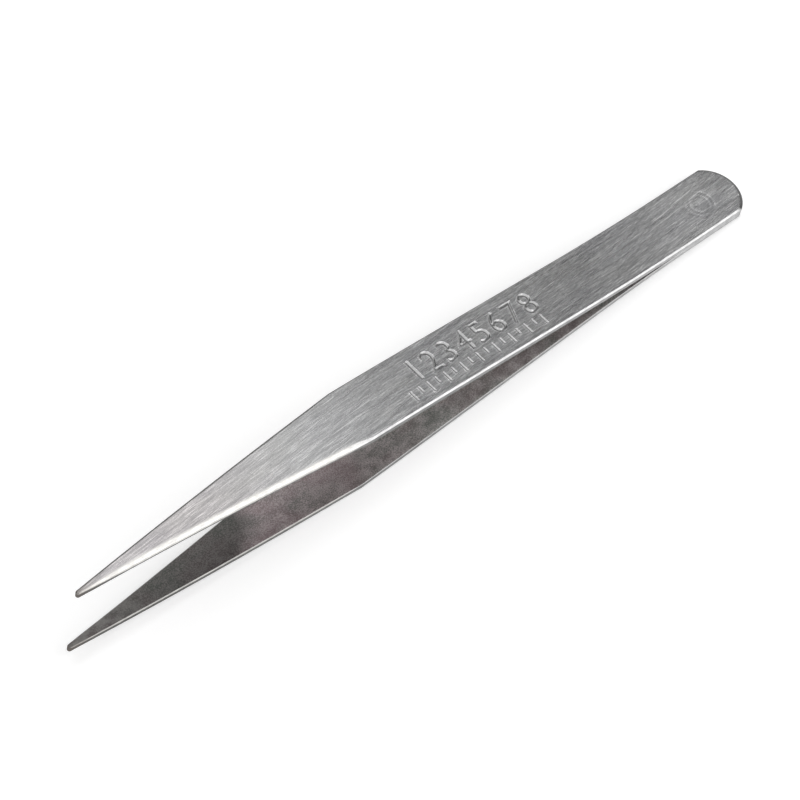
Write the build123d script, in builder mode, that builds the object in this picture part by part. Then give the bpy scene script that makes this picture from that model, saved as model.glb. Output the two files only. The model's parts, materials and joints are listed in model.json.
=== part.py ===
# Precision tweezers: two bent steel strips, spot welded together at the tail.
#
# The tool lies on its lower arm, as it does on a bench: the tail's lower edge and the belly of the
# lower arm touch z = 0. The tips point to -X, the width runs along Y and the arms open along Z.
# All sizes are in millimetres.

from build123d import *

import os
from math import asin, atan2, cos, degrees, hypot, radians, sin

# ---- driving dimensions -------------------------------------------------------------------

# Outline of an arm, seen from above, measured from the tail end along the tool's own axis.
arm_length = 125.0
tail_width = 9.0
belly_width = 9.26
belly_at = 77.0
tip_width = 0.7
tail_end_radius = 5.15
tip_end_radius = 0.34

# Side profile: flat at the weld, bent outwards, straight, then set inwards up to the tip.
strip_thickness = 1.0
bend_start = 9.8
bend_end = 33.3
set_start = 64.2
opening_angle = 5.23
toe_in_angle = 1.38

# Bevel ground along the outer edges, and what is left between the tips when they are closed.
edge_bevel = 0.22
closed_tip_gap = 0.04

# Each strip is cut here into a welded tail and a swinging blade, so that its flexing can be
# a hinge: the two arms part company at this distance from the tail end.
flex_at = 18.0

# Spot welds: lens-shaped nuggets across the joint face, and their places along the tool.
nugget_diameter = 3.2
nugget_height = 0.9
nugget_places = (7.0, 12.6)

# ---- values that follow from them ---------------------------------------------------------

bend_radius = (bend_end - bend_start) / sin(radians(opening_angle))
straight_run = (set_start - bend_end) / cos(radians(opening_angle))
set_radius = (arm_length - set_start) / (sin(radians(opening_angle)) + sin(radians(toe_in_angle)))
set_arc_angle = opening_angle + toe_in_angle

bend_rise = bend_radius * (1 - cos(radians(opening_angle)))
set_rise = bend_rise + straight_run * sin(radians(opening_angle))
set_centre_x = set_start + set_radius * sin(radians(opening_angle))
set_centre_z = set_rise - set_radius * cos(radians(opening_angle))
tip_rise = set_centre_z + set_radius * cos(radians(toe_in_angle))
flex_rise = bend_radius - (bend_radius**2 - (flex_at - bend_start) ** 2) ** 0.5

# The tool rests on the tail's lower edge and on the lower arm's outer curve: the floor is the
# tangent from that edge to the curve, and the tool's axis leans by its angle.
reach = hypot(set_centre_x - edge_bevel, set_centre_z - strip_thickness)
chord_angle = atan2(set_centre_z - strip_thickness, set_centre_x - edge_bevel)
rest_lean = chord_angle + asin((set_radius + strip_thickness) / reach)
lean_cos, lean_sin = cos(rest_lean), sin(rest_lean)

# The origin is under the middle of the whole tool's box.
tail_overhang = (strip_thickness - edge_bevel) * lean_sin
tip_overhang = (tip_rise + strip_thickness - edge_bevel) * lean_sin
origin_x = (arm_length * lean_cos + tip_overhang - tail_overhang) / 2
origin_z = strip_thickness * lean_cos - edge_bevel * lean_sin

# ---- planes -------------------------------------------------------------------------------

# The tool's own frame: x towards the tips, z the way the upper arm opens, z = 0 the joint face.
joint_face = Plane(
    origin=(origin_x, 0, origin_z),
    x_dir=(-lean_cos, 0, lean_sin),
    z_dir=(lean_sin, 0, lean_cos),
)
opening_axis = Axis(joint_face.origin, joint_face.z_dir)
# Side view of the tool: x towards the tips, y the way the upper arm opens.
side_view = Plane(
    origin=joint_face.origin,
    x_dir=joint_face.x_dir,
    z_dir=-joint_face.y_dir,
)
# Across the strip, where the welded tail ends and the blade begins; it faces the tips.
flex_section = Plane(
    origin=joint_face.from_local_coords((flex_at, 0, 0)),
    x_dir=joint_face.y_dir,
    z_dir=joint_face.x_dir,
)


def side_line(height):
    """One long line of the side profile, at this height over the arm's inner face."""
    flat = Line((0, height), (bend_start, height))
    bend = JernArc(flat @ 1, flat % 1, bend_radius - height, opening_angle)
    straight = PolarLine(bend @ 1, straight_run, opening_angle)
    JernArc(straight @ 1, straight % 1, set_radius + height, -set_arc_angle)


def outline():
    """The strip's outline: round tail end, straight sides, belly corners, taper, round tip."""
    tail_half, belly_half, tip_half = tail_width / 2, belly_width / 2, tip_width / 2
    tail_corner = tail_end_radius - (tail_end_radius**2 - tail_half**2) ** 0.5
    ThreePointArc((tail_corner, -tail_half), (0, 0), (tail_corner, tail_half))
    Polyline((tail_corner, tail_half), (belly_at, belly_half), (arm_length, tip_half))
    Line((arm_length, tip_half), (arm_length, -tip_half))
    Polyline((arm_length, -tip_half), (belly_at, -belly_half), (tail_corner, -tail_half))


def outer_rim(part):
    """The edges around the arm's outer side, without those between one outer face and the next."""
    outer_faces = part.faces().filter_by(lambda face: face.normal_at().dot(joint_face.z_dir) > 0.9)
    edges = [edge for face in outer_faces for edge in face.edges()]
    return ShapeList(edge for edge in edges if edges.count(edge) == 1)


def along(shape):
    """How far from the tail end the middle of a shape is, along the tool."""
    return joint_face.to_local_coords(shape.center()).X


# ---- the upper strip, whole ---------------------------------------------------------------

with BuildPart() as upper_strip:
    with BuildSketch(side_view):
        with BuildLine():
            side_line(0)
            side_line(strip_thickness)
            Line((0, 0), (0, strip_thickness))
            Line(
                (arm_length, tip_rise),
                (
                    arm_length + strip_thickness * sin(radians(toe_in_angle)),
                    tip_rise + strip_thickness * cos(radians(toe_in_angle)),
                ),
            )
        make_face()
    extrude(amount=belly_width, both=True)
    with BuildSketch(joint_face):
        with BuildLine():
            outline()
        make_face()
    extrude(amount=arm_length, mode=Mode.INTERSECT)
    upright_edges = upper_strip.edges().filter_by(opening_axis)
    fillet(upright_edges.group_by(along)[-1], radius=tip_end_radius)
    chamfer(outer_rim(upper_strip), length=edge_bevel)

# ---- spot welds: metal that both strips melted into, a lens across the joint face -----------

nugget_rise = nugget_height / 2
nugget_reach = nugget_diameter / 2
nugget_crown_radius = (nugget_reach**2 + nugget_rise**2) / (2 * nugget_rise)

with BuildPart() as spot_welds:
    for place in nugget_places:
        with BuildSketch(side_view):
            with BuildLine():
                RadiusArc((place, nugget_rise), (place + nugget_reach, 0), nugget_crown_radius)
                RadiusArc((place + nugget_reach, 0), (place, -nugget_rise), nugget_crown_radius)
                Line((place, -nugget_rise), (place, nugget_rise))
            make_face()
        revolve(axis=Axis(side_view.from_local_coords((place, 0, 0)), joint_face.z_dir))

# ---- each strip in two: the welded tail, and the blade that swings when it is squeezed ------

with BuildPart() as upper_arm_tail:
    add(upper_strip.part)
    split(bisect_by=flex_section, keep=Keep.BOTTOM)
    add(spot_welds.part, mode=Mode.SUBTRACT)

with BuildPart() as upper_arm_blade:
    add(upper_strip.part)
    split(bisect_by=flex_section, keep=Keep.TOP)

with BuildPart() as lower_arm_tail:
    mirror(upper_arm_tail.part, about=joint_face)

with BuildPart() as lower_arm_blade:
    mirror(upper_arm_blade.part, about=joint_face)

# ---- one file for each piece --------------------------------------------------------------

pieces = {
    "upper_arm_tail": upper_arm_tail,
    "upper_arm_blade": upper_arm_blade,
    "lower_arm_tail": lower_arm_tail,
    "lower_arm_blade": lower_arm_blade,
    "spot_welds": spot_welds,
}
os.makedirs("parts", exist_ok=True)
for name, piece in pieces.items():
    piece.part.label = name
    export_step(piece.part, f"parts/{name}.step")

# Where the two hinges stand: on each arm's inner edge, where it flexes, with the axis along Y.
# A blade swings until its tip has come down to the joint face, less half the gap that is left.
swing_length = arm_length - flex_at
swing_to_hinge_height = atan2(tip_rise - flex_rise, swing_length)
swing_to_joint_face = asin((flex_rise - closed_tip_gap / 2) / swing_length)
closing_angle = degrees(swing_to_hinge_height + swing_to_joint_face)
for side, label in ((1, "upper"), (-1, "lower")):
    hinge = joint_face.from_local_coords((flex_at, 0, side * flex_rise))
    print(f"{label} hinge at {hinge.X:.4f}, {hinge.Y:.4f}, {hinge.Z:.4f}")
print(f"closing angle {closing_angle:.3f} degrees, rest lean {degrees(rest_lean):.3f} degrees")
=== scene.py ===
# %% [markdown]
# # Precision tweezers
#
# This lesson dresses a pair of fine-point tweezers in steel. The tool is two bent strips of
# stainless sheet, spot welded together at the tail, and nothing else: no rivet, no spacer, no
# coating. All of its character is in the finish, so that is what the lesson spends its time on:
# the ground edges, the lengthwise brushing, the dull rolled metal inside the jaws, and a rule
# that is stamped into one arm. The order is: materials first, then a flat strip, then what is
# pressed into it, then the bend, and last the weld, the floor and the lamps.
#
# The engineering model comes first. It is loaded as a fixed frame: it says how large the tool
# is, where it lies and which part of it swings. Every piece made here is put where it says.

# %% Load the frame
import json
import math

import bmesh
import bpy
from mathutils import Matrix, Vector
from mathutils.bvhtree import BVHTree
from mathutils.kdtree import KDTree


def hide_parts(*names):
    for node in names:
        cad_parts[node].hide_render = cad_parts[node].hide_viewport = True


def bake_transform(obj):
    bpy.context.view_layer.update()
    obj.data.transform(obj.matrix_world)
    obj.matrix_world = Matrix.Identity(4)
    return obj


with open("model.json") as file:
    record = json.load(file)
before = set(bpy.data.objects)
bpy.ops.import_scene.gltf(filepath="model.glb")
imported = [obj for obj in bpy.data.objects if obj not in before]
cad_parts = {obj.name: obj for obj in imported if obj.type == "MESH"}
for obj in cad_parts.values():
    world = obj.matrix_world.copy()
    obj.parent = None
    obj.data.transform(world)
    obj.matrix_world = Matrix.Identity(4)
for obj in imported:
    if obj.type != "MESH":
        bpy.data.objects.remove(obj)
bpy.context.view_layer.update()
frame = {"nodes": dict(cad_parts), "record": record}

mm = 0.001
hair = 0.005 * mm

# %% [markdown]
# ## The tool's own axes
#
# The tweezers lie on their lower arm, so the whole tool leans a few degrees. It is far easier
# to work on a strip that is flat and straight, with its tail end at x = 0 and its tips at
# -x, and to bend and place it at the very end. The mount on the tail's upper face says where
# that is: its axis is the way the arms open, and it lies 5 mm from the tail end.

# %% Where the tool lies
strip_thickness = 1.0 * mm
mount_from_tail = 5.0 * mm

tail_mount = next(m for m in frame["record"]["mounts"] if m["name"] == "tail_upper_face")
opening = Vector(tail_mount["axis"]).normalized()
across = Vector((0, 1, 0))
towards_tail = across.cross(opening)
tail_end = (
    Vector(tail_mount["pos_m"]) + mount_from_tail * towards_tail - strip_thickness * opening
)
print("tail end at", [round(c / mm, 3) for c in tail_end])
print("lean of the tool", round(math.degrees(math.atan2(opening.x, opening.z)), 2), "degrees")

# %% [markdown]
# ## The camera
#
# The view is from the tips' side, in front and well above, with the camera turned a little
# about its own axis. A long lens keeps the long thin tool from looking stretched. Four plain
# numbers hold the view: how far round, how high, how much the camera is turned, and how far
# away. One chain of rotations makes a place of them, so each can be changed by itself. A
# constraint that tracks a target would aim the camera too, but it would keep it upright.

# %% Camera
look_at = Vector((-2.70, 1.13, 3.91)) * mm
camera_round = math.radians(-51.74)
camera_height = math.radians(55.43)
camera_turn = math.radians(11.05)
camera_distance = 0.5
camera_lens = 164.1
nearest_seen = 0.01

camera_data = bpy.data.cameras.new("camera")
camera_data.lens = camera_lens
camera_data.clip_start = nearest_seen
camera = bpy.data.objects.new("camera", camera_data)
bpy.context.scene.collection.objects.link(camera)
camera.matrix_world = (
    Matrix.Translation(look_at)
    @ Matrix.Rotation(camera_round, 4, "Z")
    @ Matrix.Rotation(math.pi / 2 - camera_height, 4, "X")
    @ Matrix.Rotation(camera_turn, 4, "Z")
    @ Matrix.Translation((0, 0, camera_distance))
)
bpy.context.scene.camera = camera
bpy.context.scene.view_settings.view_transform = "Standard"
print("camera at", [round(c, 3) for c in camera.matrix_world.translation])

# %% [markdown]
# ## Helpers: a material and its nodes
#
# Every finish below is a small node tree, and each takes the same few steps: start a material,
# add a node, link two sockets, do a sum. In the node editor that would take a hundred clicks
# for each finish. With a helper for each step, a finish reads like a recipe.
#
# All of it is metal, so metallic is 1. Real scratched steel doesn't turn into a mirror at a
# low angle, because its scratches hide each other, so the tint at the edges is held down.

# %% Nodes
grazing_tint = 0.55


def grey(tone):
    """A neutral colour."""
    return tone, tone, tone


def new_material(name):
    """A material with its Principled shader ready, as steel."""
    material = bpy.data.materials.new(name)
    material.use_nodes = True
    shader = material.node_tree.nodes["Principled BSDF"]
    shader.inputs["Metallic"].default_value = 1.0
    shader.inputs["Specular Tint"].default_value = (*grey(grazing_tint), 1.0)
    return material, shader


def add_node(material, kind, **values):
    """One more node; values go to the sockets of those names, or to the node's own settings."""
    node = material.node_tree.nodes.new(kind)
    for name, value in values.items():
        socket = node.inputs.get(name.replace("_", " ").title())
        if socket is not None:
            socket.default_value = value
        else:
            setattr(node, name, value)
    return node


def join(material, source, target):
    """Link one socket to another."""
    material.node_tree.links.new(source, target)


def calculate(material, operation, first, second):
    """Arithmetic on two values, each of which is a socket or a number."""
    node = add_node(material, "ShaderNodeMath", operation=operation)
    for socket, value in zip(node.inputs, (first, second)):
        if isinstance(value, (int, float)):
            socket.default_value = value
        else:
            join(material, value, socket)
    return node.outputs["Value"]


print("tint of the steel at a grazing angle", grey(grazing_tint))

# %% [markdown]
# ## Helpers: zones and grain
#
# The steel isn't the same all along: it was ground, heated and worn in zones. A ramp over one
# coordinate says where a zone is. Object coordinates are read for it, because they stay on the
# metal when an arm moves. The tool lies along X, with its middle near 0 and its tips at -X.
#
# The grain of brushed metal is plain noise, read through a Mapping node that squeezes it across
# the strip and draws it out along the strip. The same pattern can lift the surface a little. Bump
# is enough for that, because such scratches are far too fine to be modelled.

# %% Zones and grain
def remap(material, value, low, high, to_low, to_high):
    """Stretch a value from one range to another, and hold it there."""
    node = add_node(material, "ShaderNodeMapRange")
    node.inputs["From Min"].default_value = low
    node.inputs["From Max"].default_value = high
    node.inputs["To Min"].default_value = to_low
    node.inputs["To Max"].default_value = to_high
    join(material, value, node.inputs["Value"])
    return node.outputs["Result"]


def object_place(material):
    """The sockets X, Y and Z of a point of the piece."""
    place = add_node(material, "ShaderNodeTexCoord")
    parts = add_node(material, "ShaderNodeSeparateXYZ")
    join(material, place.outputs["Object"], parts.inputs["Vector"])
    return parts.outputs


def along_tool(material, start, end):
    """0 where the tool's long coordinate is start, 1 where it is end, and a ramp between."""
    return remap(material, object_place(material)["X"], start, end, 0.0, 1.0)


def grain(material, length, width, turned=0.0, detail=2.0, shift=0.0):
    """Noise drawn out along the strip: grains of this length and width, turned by an angle."""
    place = add_node(material, "ShaderNodeTexCoord")
    mapping = add_node(material, "ShaderNodeMapping", vector_type="TEXTURE")
    mapping.inputs["Location"].default_value = (shift, shift, 0)
    mapping.inputs["Rotation"].default_value = (0, 0, math.radians(turned))
    mapping.inputs["Scale"].default_value = (length, width, length)
    pattern = add_node(material, "ShaderNodeTexNoise", scale=1.0, detail=detail, roughness=0.55)
    join(material, place.outputs["Object"], mapping.inputs["Vector"])
    join(material, mapping.outputs["Vector"], pattern.inputs["Vector"])
    return pattern.outputs["Fac"]


def relief(material, height, depth, strength=1.0):
    """Tiny relief from a pattern of heights between 0 and 1, this deep."""
    node = add_node(material, "ShaderNodeBump", strength=strength)
    node.inputs["Distance"].default_value = depth
    join(material, height, node.inputs["Height"])
    return node.outputs["Normal"]


# %% [markdown]
# ## Helpers: colours
#
# A finish is one colour over another, as far as a zone or a pattern says. Two such layers get
# helpers of their own: a painted highlight on the metal beside the wide bevel, and the brown
# stain that the last few millimetres of both tips have. They could be painted on an image, but
# here each is one line in a recipe.

# %% Colours
warm_green = 0.985
warm_blue = 0.95
stain_zone = (-54.0 * mm, -62.4 * mm)
stain_colour = (0.17, 0.15, 0.135)


def warm_grey(tone):
    """The slightly yellow grey of freshly ground steel."""
    return tone, tone * warm_green, tone * warm_blue


def blend_colours(material, amount, first, second):
    """A colour between two others; each is a socket or a tuple of red, green and blue.

    A Mix node has sockets for every kind of data: for colours, 0 is the amount, 6 and 7 are
    the two colours, and output 2 is the result.
    """
    node = add_node(material, "ShaderNodeMix", data_type="RGBA")
    join(material, amount, node.inputs[0])
    for socket, colour in zip((node.inputs[6], node.inputs[7]), (first, second)):
        if isinstance(colour, tuple):
            socket.default_value = (*colour, 1.0)
        else:
            join(material, colour, socket)
    return node.outputs[2]


def shade(material, amount, colour, filter_colour):
    """A colour multiplied by a filter, as far as the amount says."""
    mixed = blend_colours(material, amount, colour, filter_colour)
    mixed.node.blend_type = "MULTIPLY"
    return mixed


def polished(material, colour, bright):
    """The same colour, brightened by a painted highlight where the mesh's attribute says so."""
    painted_highlight = add_node(material, "ShaderNodeAttribute", attribute_name="painted_highlight")
    return blend_colours(material, painted_highlight.outputs["Fac"], colour, warm_grey(bright))


def worn_at_tip(material, colour):
    """The same colour, but stained brown towards the tip, and most at its very end."""
    share = along_tool(material, *stain_zone)
    cloud = grain(material, 0.7 * mm, 0.3 * mm, detail=3.0, shift=0.033)
    stain = calculate(material, "POWER", share, 3.0)
    stain = calculate(material, "MULTIPLY", stain, remap(material, cloud, 0.4, 0.6, 0.62, 1.0))
    return blend_colours(material, stain, colour, stain_colour)


# %% [markdown]
# ## Brushed steel, the outer faces
#
# The outer faces are finished on an abrasive belt, which leaves bright and dark scratches
# along the strip. No two are quite parallel, because the hand that held the strip moved. So
# the pattern is a sum of layers of drawn-out noise, turned against each other by a few degrees:
# two long ones everywhere, a short one that gives way to a longer one past the middle, and
# fine specks over all of them. High places of the sum are brighter and low places darker, and
# the sum lifts and lowers the surface a little too, so that the scratches catch the light. A
# few rare scratches stand out brighter still. The roughness follows a broader layer.
#
# An anisotropic shader could draw such metal without a pattern, but it would look like silk,
# too even for a cheap belt finish. Towards the tips the finish changes: the pattern gets weaker,
# the steel a little darker and warmer, a painted highlight from the mesh's attribute brightens
# the face beside the wide bevel, and the ends are stained.

# %% Brushed steel
scratches_change = (0.0 * mm, -22.0 * mm)
contrast_on_taper = 0.7
darker_zone = (-24.0 * mm, -40.0 * mm)
darker_filter = (0.93, 0.895, 0.89)
painted_highlight_tone = 0.74


def brushed_steel(name, tone):
    """The belt-ground finish of an outer face."""
    material, shader = new_material(name)
    short = grain(material, 0.9 * mm, 0.16 * mm, turned=2.0, detail=3.0, shift=0.013)
    long = grain(material, 4.0 * mm, 0.14 * mm, turned=7.0, shift=0.037)
    slanted = grain(material, 2.6 * mm, 0.15 * mm, turned=9.0, shift=0.031)
    straight = grain(material, 5.5 * mm, 0.20 * mm, turned=-1.0, shift=0.019)
    rare = grain(material, 4.5 * mm, 0.13 * mm, turned=4.0, detail=0.0, shift=0.043)
    specks = grain(material, 0.16 * mm, 0.14 * mm, detail=1.0, shift=0.011)
    broad = grain(material, 9.0 * mm, 0.6 * mm, turned=5.0, shift=0.007)
    cloud = grain(material, 14.0 * mm, 5.0 * mm, detail=3.0, shift=0.022)

    taper = along_tool(material, *scratches_change)
    change = calculate(material, "MULTIPLY", calculate(material, "SUBTRACT", long, short), taper)
    total = calculate(material, "ADD", short, change)
    for layer in (slanted, straight, specks):
        total = calculate(material, "ADD", total, layer)
    height = calculate(material, "DIVIDE", total, 4.0)
    contrast = remap(material, taper, 0.0, 1.0, 1.0, contrast_on_taper)
    high_places = remap(material, height, 0.505, 0.60, 0.0, 1.0)
    low_places = remap(material, height, 0.495, 0.41, 0.0, 1.0)
    bright = calculate(material, "MULTIPLY", high_places, contrast)
    dark = calculate(material, "MULTIPLY", low_places, contrast)
    brightest = remap(material, rare, 0.71, 0.78, 0.0, 0.8)
    tint = remap(material, cloud, 0.3, 0.7, 0.0, 1.0)

    low, high = tone * 0.96, tone * 1.04
    ground = blend_colours(material, tint, (low, low, low * 1.03), (high, high, high * 0.99))
    lit = blend_colours(material, bright, ground, grey(tone * 1.6))
    lit = blend_colours(material, brightest, lit, grey(tone * 1.9))
    colour = blend_colours(material, dark, lit, (tone * 0.63, tone * 0.63, tone * 0.64))
    darker = along_tool(material, *darker_zone)
    colour = shade(material, darker, colour, darker_filter)
    # painted highlight: the face beside the wide bevel is brightened, as far as the mesh attribute
    # says
    colour = polished(material, colour, painted_highlight_tone)
    join(material, worn_at_tip(material, colour), shader.inputs["Base Color"])
    roughness = remap(material, broad, 0.3, 0.7, 0.25, 0.33)
    join(material, roughness, shader.inputs["Roughness"])
    join(material, relief(material, height, 0.02 * mm, 0.3), shader.inputs["Normal"])
    return material


outer_steel = brushed_steel("brushed_steel_outer", 0.50)
print("outer finish:", outer_steel.name, "with", len(outer_steel.node_tree.nodes), "nodes")

# %% [markdown]
# ## Edge steel, four kinds
#
# A strip shows four kinds of edge. The bevel on one side is ground on a fine wheel, so it is
# bright, with only faint lines along it. The bevel on the other side and round the tail end is
# given a much darker tone: painted shade, for the dark that those edges mirror. The cut side,
# where the sheet was sheared, is bright near the tail and gets darker all the way to the tips.
# The inner edge is only deburred.
#
# All four are the same material with other numbers, so one function makes them: it is given a
# tone for the body, a tone for the tips, the stretch of the tool over which the first goes over
# into the second, and a roughness. Four materials drawn by hand would soon drift apart.

# %% Edge steel
def edge_steel(name, tone, tone_at_tips, change, roughness):
    """An edge finish whose tone changes along the tool, between two places."""
    material, shader = new_material(name)
    lines = grain(material, 6.0 * mm, 0.09 * mm, detail=3.0)
    cloud = grain(material, 1.2 * mm, 0.5 * mm, detail=3.0, shift=0.017)
    share = along_tool(material, *change)
    clean = blend_colours(material, share, grey(tone), warm_grey(tone_at_tips))
    dull = blend_colours(material, share, grey(0.8 * tone), warm_grey(0.8 * tone_at_tips))
    amount = remap(material, cloud, 0.4, 0.65, 0.0, 1.0)
    colour = blend_colours(material, amount, clean, dull)
    join(material, worn_at_tip(material, colour), shader.inputs["Base Color"])
    rough = remap(material, lines, 0.3, 0.7, roughness * 0.85, roughness * 1.15)
    join(material, rough, shader.inputs["Roughness"])
    join(material, relief(material, lines, 0.01 * mm, 0.25), shader.inputs["Normal"])
    return material


belly_zone = (-14.0 * mm, -19.0 * mm)
whole_arm = (55.0 * mm, -48.0 * mm)
bevel_steel = edge_steel("ground_bevel", 0.60, 0.74, belly_zone, 0.32)
# painted shade: the bevel on the far side and round the tail end gets a dark tone in place of the
# dark it would mirror
shaded_edge_steel = edge_steel("edge_painted_shade", 0.18, 0.16, belly_zone, 0.34)
deburred_steel = edge_steel("deburred_edge", 0.46, 0.42, belly_zone, 0.38)
side_steel = edge_steel("sheared_side", 0.62, 0.17, whole_arm, 0.36)
edge_finishes = (bevel_steel, shaded_edge_steel, deburred_steel, side_steel)
print("edge finishes:", ", ".join(material.name for material in edge_finishes))

# %% [markdown]
# ## Rolled steel, the inner faces
#
# Nobody grinds the inside of the arms. It keeps the skin of the rolled sheet, dull and darker,
# with fine pits and with pale clouds of pink and green. From the middle on it is a little darker
# and pinker. The last quarter, up to the tips, is much darker: painted shade, standing in for the
# shade and dark reflection between the arms, with an uneven border that runs slantwise across the
# strip. The ends are worn lighter again, in patches.
#
# A painted image could hold all that, but here it is a few layers of noise and a few zones. They
# stay sharp from any distance, and moving a border takes one number.

# %% Rolled steel
darker_pinker_zone = (2.0 * mm, -16.0 * mm)
darker_pinker_filter = (0.81, 0.755, 0.77)
painted_shade_zone = (-28.5 * mm, -33.5 * mm)
border_waves = 12.0 * mm
border_slant = -0.7
worn_zone = (-48.0 * mm, -60.0 * mm)
worn_colour = (0.26, 0.255, 0.245)


def rolled_steel(name):
    """The dull skin of the sheet, as it left the rolls."""
    material, shader = new_material(name)
    clouds = grain(material, 9.0 * mm, 5.0 * mm, detail=2.0, shift=0.003)
    patches = grain(material, 1.8 * mm, 1.3 * mm, detail=4.0, shift=0.041)
    specks = grain(material, 0.20 * mm, 0.16 * mm, detail=3.0, shift=0.029)
    lines = grain(material, 3.0 * mm, 0.15 * mm, turned=2.0)

    warm = remap(material, clouds, 0.42, 0.58, 0.0, 1.0)
    spots = calculate(material, "ADD", specks, calculate(material, "MULTIPLY", patches, 0.5))
    light = remap(material, spots, 0.64, 0.90, 0.0, 1.0)
    skin = blend_colours(material, warm, (0.30, 0.32, 0.30), (0.35, 0.31, 0.31))
    skin = blend_colours(material, light, skin, (0.66, 0.63, 0.625))
    # darker and pinker from the middle on towards the tips
    darker_pinker = along_tool(material, *darker_pinker_zone)
    skin = shade(material, darker_pinker, skin, darker_pinker_filter)

    place = object_place(material)
    waves = calculate(material, "SUBTRACT", clouds, 0.5)
    waves = calculate(material, "MULTIPLY", waves, border_waves)
    slant = calculate(material, "MULTIPLY", place["Y"], border_slant)
    along = calculate(material, "ADD", place["X"], waves)
    along = calculate(material, "ADD", along, slant)
    # painted shade: the much darker zone towards the tips stands in for the shade and dark
    # reflection between the arms
    painted_shade = remap(material, along, *painted_shade_zone, 0.0, 1.0)
    shaded_skin = blend_colours(material, warm, (0.085, 0.09, 0.083), (0.10, 0.088, 0.087))
    shaded_skin = blend_colours(material, light, shaded_skin, (0.19, 0.18, 0.175))
    skin = blend_colours(material, painted_shade, skin, shaded_skin)

    worn_patches = remap(material, patches, 0.38, 0.60, 0.15, 0.85)
    worn = calculate(material, "MULTIPLY", along_tool(material, *worn_zone), worn_patches)
    skin = blend_colours(material, worn, skin, worn_colour)
    join(material, skin, shader.inputs["Base Color"])
    join(material, remap(material, patches, 0.3, 0.7, 0.42, 0.58), shader.inputs["Roughness"])
    height = calculate(material, "ADD", specks, calculate(material, "MULTIPLY", lines, 0.6))
    join(material, relief(material, height, 0.02 * mm, 0.4), shader.inputs["Normal"])
    return material


inner_steel = rolled_steel("rolled_steel_inner")
print("inner finish:", inner_steel.name, "with", len(inner_steel.node_tree.nodes), "nodes")

# %% [markdown]
# ## Pressed steel, the stamped marks
#
# A stamp presses the metal instead of cutting it, so the floor and walls of a mark are smooth.
# They mirror the room more sharply than the scratched face around them: one wall of a stroke
# shows a lamp and the other the dim room. Their colour is darker than the face around them:
# painted shade in the recesses of the marks. The marks could share the brushed finish, but then
# scratches would run on through them.

# %% Pressed steel
def pressed_steel(name):
    """The smooth metal in the marks of a stamp."""
    material, shader = new_material(name)
    cloud = grain(material, 0.5 * mm, 0.5 * mm, detail=3.0)
    amount = remap(material, cloud, 0.3, 0.7, 0.0, 1.0)
    # painted shade: the recessed marks are darker than the face around them
    colour = blend_colours(material, amount, grey(0.35), grey(0.46))
    join(material, colour, shader.inputs["Base Color"])
    join(material, remap(material, cloud, 0.3, 0.7, 0.16, 0.24), shader.inputs["Roughness"])
    return material


mark_steel = pressed_steel("pressed_marks")
finishes = [outer_steel, *edge_finishes, inner_steel, mark_steel]
OUTER, BEVEL, SHADED_EDGE, DEBURRED, SIDE, INNER, MARK = range(len(finishes))
print("finishes:", ", ".join(material.name for material in finishes))

# %% [markdown]
# ## The outline of a strip
#
# Seen from above, the strip has a round tail end that meets its sides in two corners, almost
# parallel sides up to the belly, and then a long straight taper to a small round tip. Two
# short functions say it: how wide the strip is at a distance from the tail end, and where a
# point lies that is some share of the way across it and some way in from its edge. A Bezier
# curve could draw the same outline, but it can't be asked where such a point lies, and every
# ring of the bevel needs that.

# %% Outline
arm_length = 125.0 * mm
tail_half_width = 4.5 * mm
belly_half_width = 4.63 * mm
belly_at = 77.0 * mm
tip_half_width = 0.35 * mm
tail_end_radius = 5.15 * mm
tail_round_length = 9.0 * mm
tip_round_length = 2.2 * mm


def half_width(along):
    """Half the strip's width at a distance from its tail end."""
    if along < belly_at:
        return tail_half_width + (belly_half_width - tail_half_width) * along / belly_at
    share = (along - belly_at) / (arm_length - belly_at)
    return belly_half_width + (tip_half_width - belly_half_width) * share


def outline_point(along, share, inset):
    """A point seen from above; share runs from -1 to 1 across the strip."""
    half = half_width(along) - inset
    tail_share = max(0.0, 1 - along / tail_round_length)
    tip_share = max(0.0, 1 - (arm_length - along) / tip_round_length)
    angle = share * math.pi / 2
    y = half * ((1 - tip_share) * share + tip_share * math.sin(angle))
    arc = tail_end_radius - inset
    tail_shift = inset + arc - math.sqrt(arc**2 - min(y**2, arc**2))
    tip_shift = inset + half * (1 - math.cos(angle))
    return along + tail_share * tail_shift - tip_share * tip_shift, y


print("half width at the belly", round(half_width(belly_at) / mm, 2), "mm")

# %% [markdown]
# ## The edges of a strip
#
# In section, the outer edge is a small flat bevel as far as the belly. Past it one side of the
# taper was ground again on a soft wheel, which left a round edge more than three times as wide,
# and hardly anything on the other side. The wide edge fades in over a few millimetres, and near
# the tip it can only be a share of the width. Round the tail end the bevel is wider than on the
# sides. The inner edge is only deburred, a little more on the taper than on the body.
#
# A Bevel modifier shapes an edge in one way from end to end, so it can't go over from a flat
# bevel to a round one. Here the edge is a stack of rings instead, and section_point says where
# each ring lies at each place along the strip. Ring 0 is the border of the inner face, ring 1
# the top of the deburred edge, and from ring 2 on they climb the outer bevel. The power bends
# that climb: with 2 it is a flat bevel, with 1 a round one.

# %% Section
body_bevel = 0.22 * mm
taper_bevel_across = 0.76 * mm
taper_bevel_down = 0.63 * mm
taper_grind_starts = 76.6 * mm
taper_grind_length = 5.0 * mm
most_across = 0.6
inner_break = 0.06 * mm
taper_break = 0.13 * mm
most_down = 0.55
other_side_grind = 0.15
tail_extra = 0.24 * mm
tail_extra_length = 1.2 * mm
bevel_steps = 6
rings = bevel_steps + 2


def smooth_share(value):
    """0 up to 0, 1 from 1 on, and a soft change between."""
    value = min(1.0, max(0.0, value))
    return value * value * (3 - 2 * value)


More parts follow.
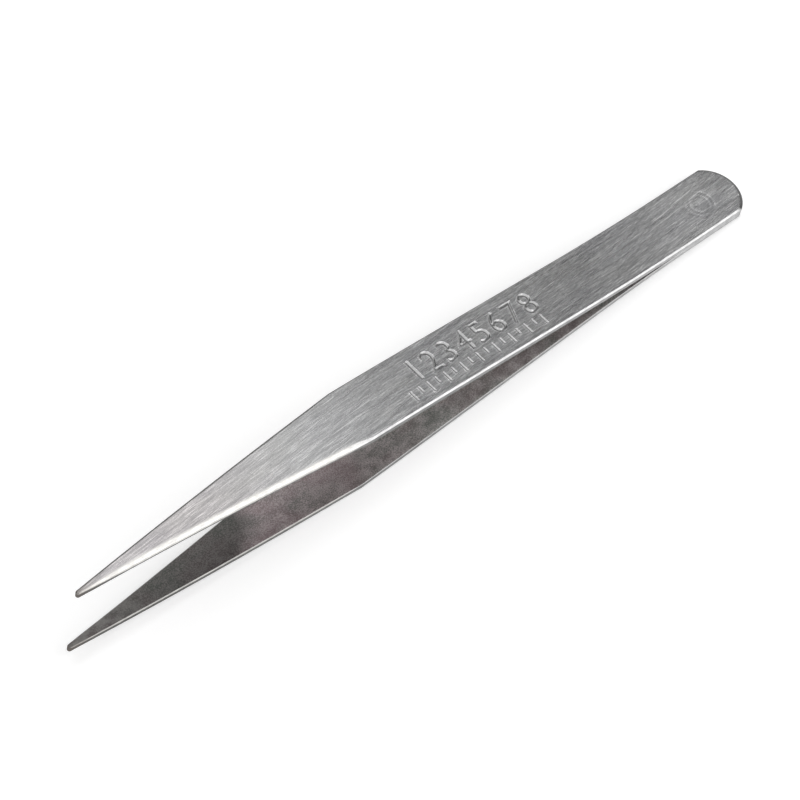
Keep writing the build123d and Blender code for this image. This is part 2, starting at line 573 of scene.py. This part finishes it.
def section_point(along, ring, share):
    """How far in from the outline and how high over the inner face a ring lies."""
    ground = smooth_share((along - taper_grind_starts) / taper_grind_length)
    if ring < 2:
        broken = inner_break + (taper_break - inner_break) * ground
        broken = min(broken, inner_break / 2 + half_width(along) / 10)
        return (broken, 0.0) if ring == 0 else (0.0, broken)
    ground_side = (1 - share) / 2
    ground *= other_side_grind + (1 - other_side_grind) * ground_side
    across_edge = body_bevel + (taper_bevel_across - body_bevel) * ground
    across_edge += tail_extra * smooth_share(1 - along / tail_extra_length)
    across_edge = min(across_edge, most_across * half_width(along))
    down_edge = body_bevel + (taper_bevel_down - body_bevel) * ground
    down_edge = min(down_edge, most_down * half_width(along))
    angle = (ring - 2) / bevel_steps * math.pi / 2
    power = 2 - ground
    inset = across_edge * (1 - math.cos(angle) ** power)
    height = strip_thickness - down_edge * (1 - math.sin(angle) ** power)
    return inset, height


print("edge at the belly", [round(v / mm, 3) for v in section_point(belly_at, rings, -1)], "mm")

# %% [markdown]
# ## Which finish goes where
#
# The strip below starts as a square block whose corners sit in numbered layers, one for each
# ring of the section. That is the moment to give the faces their finishes, because a face only
# has to be asked which layers it touches. The lowest is the inner face, and the two highest are
# the outer face and its border. Between them come the deburred inner edge, the sheared side and
# the bevel, which is bright on one side, and darkened with painted shade on the other side and
# round the tail end.
# Choosing by the angle of each face would be the other way, but the round edge has every angle.

# %% Finishes on the strip
def finish_of(face):
    """The slot of the finish for a face of the square block."""
    layers = [round(corner.co.z) for corner in face.verts]
    if max(layers) == 0:
        return INNER
    if min(layers) >= rings - 1:
        return OUTER
    if min(layers) < 2:
        return (DEBURRED, SIDE)[min(layers)]
    at_tail_end = min(corner.co.x for corner in face.verts) > 0.999
    other_side = sum(corner.co.y for corner in face.verts) > 0
    # painted shade on the far side and round the tail end
    return SHADED_EDGE if at_tail_end or other_side else BEVEL


print("layers of the block:", rings + 1)

# %% [markdown]
# ## The grid's columns
#
# The strip is modelled as a grid, and what its cells have to follow differs along it. So the
# columns are close together only where something happens: at the round tail end, under the
# marks, at the belly and at the tip. An even grid that is fine enough for the tip would have
# three times as many. Each line gives a stretch of the strip and its number of cells.

# %% Columns
columns_between = (
    (0.0 * mm, 9.0 * mm, 14),
    (9.0 * mm, 33.3 * mm, 18),
    (33.3 * mm, 40.0 * mm, 3),
    (40.0 * mm, 69.0 * mm, 29),
    (69.0 * mm, 76.0 * mm, 5),
    (76.0 * mm, 83.0 * mm, 16),
    (83.0 * mm, 121.0 * mm, 28),
    (121.0 * mm, 125.0 * mm, 12),
)
column_places = [0.0]
for start, end, steps in columns_between:
    column_places += [start + (end - start) * step / steps for step in range(1, steps + 1)]
print("columns:", len(column_places))

# %% [markdown]
# ## A painted highlight beside the wide bevel
#
# The face beside the wide bevel is brightened, so that the bevel's highlight runs out softly over
# it: a painted highlight. Each corner of the mesh gets a number for that: it is 1 at the wide
# bevel and fades out over the face. The brushed steel reads it. Such an attribute is the
# simplest mask there is, because it is worked out from the outline and moves with the mesh.

# %% Painted highlight
painted_highlight_reach = 0.9 * mm
painted_highlight_fade = 0.65 * mm


def polish_share(along, y):
    """How much painted highlight there is: all of it at the ground edge of the taper."""
    started = smooth_share((along - taper_grind_starts) / taper_grind_length)
    from_edge = half_width(along) + y
    reach = min(painted_highlight_reach, 0.9 * half_width(along))
    return started * smooth_share((reach - from_edge) / painted_highlight_fade)


# the painted highlight fades out this far in from the taper's edge
print("polish fades out", round(painted_highlight_reach / mm, 2), "mm in from the taper's edge")

# %% [markdown]
# ## A flat strip from a block
#
# The strip could be drawn as an outline and extruded, but then its edge would have the same
# bevel everywhere. Instead a grid is extruded to a block, and cuts round its sides make the
# rings that the edge needs. Then every corner of the block moves to its place on the strip.
# The rows crowd towards the edges, where the shape turns.

# %% Flat strip
rows_across = 20
edge_crowding = 1.7


def flat_strip():
    """A strip lying flat on z = 0, tail end at x = 0, tip at -x, outer face up."""
    shape = bmesh.new()
    columns = len(column_places) - 1
    bmesh.ops.create_grid(shape, x_segments=columns, y_segments=rows_across, size=1.0)
    extruded = bmesh.ops.extrude_face_region(shape, geom=shape.faces[:])
    raised = [item for item in extruded["geom"] if isinstance(item, bmesh.types.BMVert)]
    bmesh.ops.translate(shape, verts=raised, vec=(0, 0, rings))
    upright = [edge for edge in shape.edges if abs(edge.verts[0].co.z - edge.verts[1].co.z) > 0.5]
    bmesh.ops.subdivide_edges(shape, edges=upright, cuts=rings - 1, use_grid_fill=False)
    for face in shape.faces:
        face.material_index = finish_of(face)
    painted_highlight = shape.verts.layers.float.new("painted_highlight")
    for corner in shape.verts:
        column = round((1 - corner.co.x) / 2 * columns)
        row = corner.co.y
        ring = round(corner.co.z)
        along = column_places[column]
        share = math.copysign(1 - (1 - min(1.0, abs(row))) ** edge_crowding, row)
        inset, height = section_point(along, ring, share)
        x, y = outline_point(along, share, inset)
        corner.co = (-x, y, height)
        # share of painted highlight at this corner
        corner[painted_highlight] = polish_share(along, y)
    bmesh.ops.recalc_face_normals(shape, faces=shape.faces[:])
    return shape


blank = flat_strip()
for number, material in enumerate(finishes):
    print(material.name, sum(face.material_index == number for face in blank.faces), "faces")
print("flat strip:", len(blank.faces), "faces, volume", round(blank.calc_volume() / mm**3, 1), "mm3")

# %% [markdown]
# ## Room for marks
#
# A stamp presses the metal down, it doesn't cut it away, so the marks are pressed into the
# mesh. That needs small cells where the marks go. Two calls of the subdivide operator cut
# only the outer face, and only over one stretch: first its long edges, then its cross edges.
# A Subdivision modifier would make the whole strip just as fine, and many times heavier.

# %% Fine cells
def outer_edges(shape, start, end, reach, axis):
    """Edges of the outer face that run along one axis, over one stretch of the strip."""
    chosen = []
    for edge in shape.edges:
        first, second = (corner.co for corner in edge.verts)
        middle, run = (first + second) / 2, second - first
        on_face = min(first.z, second.z) > strip_thickness - hair
        in_stretch = start < -middle.x < end and abs(middle.y) < reach
        if on_face and in_stretch and abs(run[axis]) > abs(run[1 - axis]):
            chosen.append(edge)
    return chosen


def make_cells(shape, start, end, reach, cuts):
    """Cut one stretch of the outer face into small cells."""
    for axis in (0, 1):
        edges = outer_edges(shape, start, end, reach, axis)
        bmesh.ops.subdivide_edges(shape, edges=edges, cuts=cuts[axis], use_grid_fill=False)


make_cells(blank, start=39.5 * mm, end=69.5 * mm, reach=4.0 * mm, cuts=(11, 7))
print("strip with fine cells:", len(blank.faces), "faces")

# %% [markdown]
# ## A stencil of the rule
#
# The upper arm carries a stamped rule, one inch long and divided into eighths, in plain
# numbers and strokes, with a short stroke half-way between. Its flat stencil is made first: text
# objects for the numbers and small grids for the strokes, all joined in one mesh. From the
# stencil come two things: a search tree that tells whether a point is inside a mark, and a
# cloud of points along the outlines that tells how far it is from the edge of one. A painted
# mask would do for the inside, but it can't say how far away the edge is. The size of a font
# isn't the height of its digits, so digit_share leads from one to the other.

# %% Stencil
rule_start = 67.4 * mm
eighth = 25.4 * mm / 8
number_height = 3.8 * mm
number_foot = -0.9 * mm
number_boldness = 0.05 * mm
digit_share = 0.73
stroke_head = -1.5 * mm
stroke_width = 0.36 * mm
long_stroke = 1.9 * mm
short_stroke = 1.2 * mm


def add_number(stencil, text, x):
    """Add one number to the stencil, its middle at x."""
    curve = bpy.data.curves.new("number", "FONT")
    curve.body = text
    curve.size = number_height / digit_share
    curve.align_x = "CENTER"
    curve.offset = number_boldness
    letters = bpy.data.objects.new("number", curve)
    bpy.context.scene.collection.objects.link(letters)
    seen = letters.evaluated_get(bpy.context.evaluated_depsgraph_get())
    mesh = bpy.data.meshes.new_from_object(seen)
    bpy.data.objects.remove(letters)
    mesh.transform(Matrix.Translation((x, number_foot, 0)))
    stencil.from_mesh(mesh)
    bpy.data.meshes.remove(mesh)


def add_stroke(stencil, length, x):
    """Add one stroke of the rule to the stencil."""
    made = bmesh.ops.create_grid(stencil, x_segments=1, y_segments=1, size=0.5)
    bmesh.ops.scale(stencil, verts=made["verts"], vec=(stroke_width, length, 1))
    bmesh.ops.translate(stencil, verts=made["verts"], vec=(x, stroke_head - length / 2, 0))


stencil = bmesh.new()
for number in range(1, 9):
    add_number(stencil, str(number), number * eighth - rule_start)
for sixteenth in range(17):
    length = short_stroke if sixteenth % 2 else long_stroke
    add_stroke(stencil, length, sixteenth * eighth / 2 - rule_start)
bmesh.ops.remove_doubles(stencil, verts=stencil.verts[:], dist=0.001 * mm)
outline_edges = sum(edge.is_boundary for edge in stencil.edges)
print("stencil:", len(stencil.faces), "faces,", outline_edges, "outline edges")

# %% [markdown]
# ## Pressing the marks
#
# A letter punch has sloping walls, so a point inside a mark sinks the deeper the further it is
# from the outline, down to the floor if the mark is wide enough. The metal pushed aside stands as
# a low rim round the outline, and that rim is what makes stamped marks catch the light. A
# Boolean cut would give steep walls, no rim, and slivers where its edges cross the grid.

# %% Press
mark_depth = 0.13 * mm
wall_slope = 0.6
rim_height = 0.04 * mm
rim_width = 0.20 * mm
outline_step = 0.02 * mm


def outline_cloud(stencil):
    """Points along every outline of a stencil, ready to be searched."""
    points = []
    for edge in stencil.edges:
        if edge.is_boundary:
            first, second = (corner.co for corner in edge.verts)
            steps = max(1, round(edge.calc_length() / outline_step))
            points += [first.lerp(second, step / steps) for step in range(steps)]
    cloud = KDTree(len(points))
    for number, point in enumerate(points):
        cloud.insert(point, number)
    cloud.balance()
    return cloud


def press(shape, stencil):
    """Press a stencil into the outer face of a flat strip."""
    inside = BVHTree.FromBMesh(stencil)
    cloud = outline_cloud(stencil)
    pressed = set()
    for corner in shape.verts:
        if corner.co.z < strip_thickness - hair:
            continue
        flat = Vector((corner.co.x, corner.co.y, 0))
        away = cloud.find(flat)[2]
        if away > rim_width + mark_depth / wall_slope:
            continue
        if inside.find_nearest(flat)[3] < hair / 10:
            corner.co.z -= min(mark_depth, away * wall_slope)
            pressed.add(corner)
        elif away < rim_width:
            corner.co.z += rim_height * (1 - away / rim_width) ** 2
    for face in shape.faces:
        if all(corner in pressed for corner in face.verts):
            face.material_index = MARK


press(blank, stencil)
stencil.free()
print("pressed faces:", sum(face.material_index == MARK for face in blank.faces))

# %% [markdown]
# ## Marks of the weld, and of use
#
# The electrode that welded the strips together left two rings on each tail, and a tiny one
# inside them. They are so shallow that only their reflection shows. A small nick in the rim of
# the tail end comes from use. All of them are pressed in by the same formula: a soft dip around
# a circle, or around a point. Bump could draw them too, but a real dent is there in the mesh as
# well, and catches the lamps the same way wherever the mesh goes.

# %% Weld mark
def dip(shape, along, across_strip, radius, width, depth):
    """A soft groove round a circle on the outer face; with radius 0 it is a round dent."""
    for corner in shape.verts:
        if corner.co.z < strip_thickness - hair - mark_depth:
            continue
        distance = math.hypot(corner.co.x + along, corner.co.y - across_strip)
        share = 1 - abs(distance - radius) / width
        if share > 0:
            corner.co.z -= depth * smooth_share(share)


def mark_weld(shape):
    """The electrode's rings, and the nick, on a tail."""
    make_cells(shape, start=0.4 * mm, end=11.0 * mm, reach=3.2 * mm, cuts=(4, 5))
    rings_at = (7.3 * mm, -0.2 * mm)
    tiny_ring_at = (7.6 * mm, 0.0 * mm)
    nick_at = (1.3 * mm, -2.5 * mm)
    dip(shape, *rings_at, radius=2.2 * mm, width=0.35 * mm, depth=0.014 * mm)
    dip(shape, *rings_at, radius=1.5 * mm, width=0.35 * mm, depth=0.012 * mm)
    dip(shape, *tiny_ring_at, radius=0.3 * mm, width=0.22 * mm, depth=0.016 * mm)
    dip(shape, *nick_at, radius=0.0, width=0.35 * mm, depth=0.05 * mm)


mark_weld(blank)
print("upper strip ready:", len(blank.faces), "faces")

# %% [markdown]
# ## Bending a strip
#
# The press bends both strips the same way: flat where they are welded, a long soft bend
# outwards, a straight run, and a slow curve back in towards the tip. The function below gives
# the height and the slope of the inner face, and every corner of the flat strip is carried
# along on it, square to the sheet. A Curve modifier would bend the strip too, but this curve
# is the one that the engineering model was drawn with, so the arm fits it.

# %% Bend
bend_start = 9.8 * mm
bend_end = 33.3 * mm
set_start = 64.2 * mm
opening_angle = math.radians(5.23)
toe_in_angle = math.radians(1.38)

bend_radius = (bend_end - bend_start) / math.sin(opening_angle)
set_radius = (arm_length - set_start) / (math.sin(opening_angle) + math.sin(toe_in_angle))
bend_rise = bend_radius * (1 - math.cos(opening_angle))
set_rise = bend_rise + (set_start - bend_end) * math.tan(opening_angle)


def inner_face(along):
    """Height of the inner face over the joint, and its slope, at a distance from the tail end."""
    if along < bend_start:
        return 0.0, 0.0
    if along < bend_end:
        slope = math.asin((along - bend_start) / bend_radius)
        return bend_radius * (1 - math.cos(slope)), slope
    if along < set_start:
        return bend_rise + (along - bend_end) * math.tan(opening_angle), opening_angle
    slope = math.asin(math.sin(opening_angle) - (along - set_start) / set_radius)
    return set_rise + set_radius * (math.cos(slope) - math.cos(opening_angle)), slope


def bend_and_place(shape, side):
    """Bend a flat strip and lay it in its place: side is 1 for the upper arm, -1 for the lower."""
    for corner in shape.verts:
        x, y, height = corner.co
        rise, slope = inner_face(-x)
        along = -x - height * math.sin(slope)
        lift = rise + height * math.cos(slope)
        corner.co = tail_end - along * towards_tail + side * (y * across + lift * opening)


print("inner face at the tips is", round(inner_face(arm_length)[0] / mm, 3), "mm from the joint")

# %% [markdown]
# ## The two arms
#
# Both arms are the same strip, one turned half round about the tool's axis, and only the upper
# one carries the rule. They could be mirrored copies of one mesh, but then both would carry it,
# and the numbers of one would read backwards.
#
# A finished arm is one piece of steel, so it is one mesh, and it replaces the two nodes that the
# engineering model splits it into. Edges sharper than the crease angle are shaded as corners,
# except in the marks, whose walls run out softly.

# %% Arms
crease = math.radians(32)


def make_arm(name, shape, side):
    """A finished arm from a flat strip."""
    bend_and_place(shape, side)
    for face in shape.faces:
        face.smooth = True
    for edge in shape.edges:
        marked = all(face.material_index in (OUTER, MARK) for face in edge.link_faces)
        edge.smooth = marked or edge.calc_face_angle(0.0) < crease
    mesh = bpy.data.meshes.new(name)
    shape.to_mesh(mesh)
    shape.free()
    for material in finishes:
        mesh.materials.append(material)
    arm = bpy.data.objects.new(name, mesh)
    bpy.context.scene.collection.objects.link(arm)
    return arm


plain_blank = flat_strip()
mark_weld(plain_blank)
upper_arm = make_arm("upper_arm", blank, 1)
lower_arm = make_arm("lower_arm", plain_blank, -1)

for arm, blade in ((upper_arm, "upper_blade"), (lower_arm, "lower_blade")):
    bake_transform(arm)
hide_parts("upper_arm_tail", "upper_arm_blade")
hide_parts("lower_arm_tail", "lower_arm_blade")
for arm in (upper_arm, lower_arm):
    print(arm.name, len(arm.data.polygons), "faces")

# %% [markdown]
# ## The weld
#
# The nuggets are metal of both strips that melted and froze again. They sit inside the joint
# and don't show while the arms are in place, but every piece gets its finish, so they are dull
# grey steel with a coarse grain. They could be modelled again with finer facets, but inside the
# metal nobody would see them, so they keep the engineering model's mesh.

# %% Weld metal
weld_steel, weld_shader = new_material("fused_weld_metal")
weld_grain = grain(weld_steel, 0.3 * mm, 0.3 * mm, detail=4.0)
weld_tone = remap(weld_steel, weld_grain, 0.3, 0.7, 0.0, 1.0)
weld_colour = blend_colours(weld_steel, weld_tone, (0.36, 0.35, 0.34), grey(0.5))
join(weld_steel, weld_colour, weld_shader.inputs["Base Color"])
weld_roughness = remap(weld_steel, weld_grain, 0.3, 0.7, 0.4, 0.6)
join(weld_steel, weld_roughness, weld_shader.inputs["Roughness"])

welds = frame["nodes"]["spot_welds"]
welds.data.materials.clear()
welds.data.materials.append(weld_steel)

# %% [markdown]
# ## The white table
#
# The tweezers lie on a plain white table. Its colour is an honest pale grey, so that it takes
# a shadow, and a little light of its own lifts it to white. Only the camera, reflections and
# glass see that light: the steel mirrors a white table, but the light doesn't fall on anything.
# Further out the table goes over into plain white. Brighter lamps would whiten it as well, but
# they would burn out the steel.

# %% White table
plain_white_starts = 0.22
plain_white_complete = 0.5
paper_tone = 0.85
paper_glow = 0.34


def white_table():
    """Pale floor that keeps its shadows and reads as white."""
    material = bpy.data.materials.new("white_table")
    material.use_nodes = True
    tree = material.node_tree
    tree.nodes.clear()
    paper = add_node(material, "ShaderNodeBsdfDiffuse")
    paper.inputs["Color"].default_value = (*grey(paper_tone), 1.0)
    glow = add_node(material, "ShaderNodeEmission")
    ray = add_node(material, "ShaderNodeLightPath").outputs
    seen = calculate(material, "ADD", ray["Is Camera Ray"], ray["Is Glossy Ray"])
    seen = calculate(material, "ADD", seen, ray["Is Transmission Ray"])
    join(material, calculate(material, "MULTIPLY", seen, paper_glow), glow.inputs["Strength"])
    both = add_node(material, "ShaderNodeAddShader")
    join(material, paper.outputs["BSDF"], both.inputs[0])
    join(material, glow.outputs["Emission"], both.inputs[1])

    white = add_node(material, "ShaderNodeEmission")
    join(material, seen, white.inputs["Strength"])
    place = add_node(material, "ShaderNodeTexCoord")
    distance = add_node(material, "ShaderNodeVectorMath", operation="LENGTH")
    join(material, place.outputs["Object"], distance.inputs[0])
    away = distance.outputs["Value"]
    far = remap(material, away, plain_white_starts, plain_white_complete, 0.0, 1.0)
    mixed = add_node(material, "ShaderNodeMixShader")
    join(material, far, mixed.inputs[0])
    join(material, both.outputs["Shader"], mixed.inputs[1])
    join(material, white.outputs["Emission"], mixed.inputs[2])
    output = add_node(material, "ShaderNodeOutputMaterial")
    join(material, mixed.outputs["Shader"], output.inputs["Surface"])
    return material


paper_white = white_table()
print("table colour", paper_tone, "with a glow of", paper_glow)

# %% [markdown]
# ## The floor
#
# The table is one large flat disc at z = 0, where the engineering model says that the tool
# lies. A curved backdrop would do as well, but a disc looks the same from every side.

# %% Floor
floor_radius = 3.0

floor_shape = bmesh.new()
bmesh.ops.create_circle(floor_shape, cap_ends=True, segments=64, radius=floor_radius)
floor_mesh = bpy.data.meshes.new("floor")
floor_shape.to_mesh(floor_mesh)
floor_shape.free()
floor_mesh.materials.append(paper_white)
floor = bpy.data.objects.new("floor", floor_mesh)
bpy.context.scene.collection.objects.link(floor)

# %% [markdown]
# ## The lamps
#
# Steel shows what it reflects, so the lamps are placed for their reflections. A wide soft box
# hangs over the tool: the outer faces mirror its edge on the tail's side, and more of the box
# towards the tips, so they grow brighter there. A second soft box stands in front on the right,
# where the near bevels mirror it as a white line. Point lamps would light the table as well, but
# in steel they would only be dots. Each lamp's power is worked out from the brightness that a
# mirror would show, where 1 is the white of paper, so both stay near a plain level.

# %% Lamps
def soft_box(name, place, aim, width, height, brightness):
    """A rectangular area lamp that faces its aim; brightness is what a mirror would show."""
    lamp_data = bpy.data.lights.new(name, "AREA")
    lamp_data.shape = "RECTANGLE"
    lamp_data.size = width
    lamp_data.size_y = height
    lamp_data.energy = brightness * math.pi * width * height
    lamp = bpy.data.objects.new(name, lamp_data)
    bpy.context.scene.collection.objects.link(lamp)
    direction = Vector(aim) - Vector(place)
    turn = direction.to_track_quat("-Z", "Y").to_matrix().to_4x4()
    lamp.matrix_world = Matrix.Translation(place) @ turn
    print(name, "energy", round(lamp_data.energy, 2), "W")


over_tool = Vector((0.06, 0.05, 0.0))
overhead = over_tool + Vector((0.0, 0.0, 0.55))
in_front = Vector((0.26, -0.46, 0.30))
soft_box("overhead_box", overhead, over_tool, width=0.8, height=0.8, brightness=1.0)
soft_box("front_box", in_front, (0, 0, 0), width=0.6, height=0.7, brightness=1.25)

# %% [markdown]
# ## The room
#
# The room is white round the horizon, which keeps the tool from turning black when it is seen
# from low down. Higher up it is dim, and dimmer still on the far side, so that the bevels and
# the walls of the marks that face that way stay dark. An image of a real studio would do the
# same, but for two ramps nothing has to be loaded. Each ramp runs over one part of the direction
# of a ray: Z is 0 at the horizon and 1 overhead, and Y is 1 straight towards the far side.

# %% Room
white_horizon = (0.18, 0.48)
far_side = (0.3, 0.7)
overhead_tone = 0.28
far_side_tone = 0.14


def studio_room():
    """White round the horizon, dim overhead, and dimmest high up on the far side."""
    world = bpy.data.worlds.new("studio")
    world.use_nodes = True
    background = world.node_tree.nodes["Background"]
    direction = add_node(world, "ShaderNodeTexCoord")
    parts = add_node(world, "ShaderNodeSeparateXYZ")
    join(world, direction.outputs["Generated"], parts.inputs["Vector"])
    height = remap(world, parts.outputs["Z"], *white_horizon, 0.0, 1.0)
    behind = remap(world, parts.outputs["Y"], *far_side, 0.0, 1.0)
    upper_room = blend_colours(world, behind, grey(overhead_tone), grey(far_side_tone))
    colour = blend_colours(world, height, grey(1.0), upper_room)
    join(world, colour, background.inputs["Color"])
    bpy.context.scene.world = world


studio_room()
print("world:", bpy.context.scene.world.name)
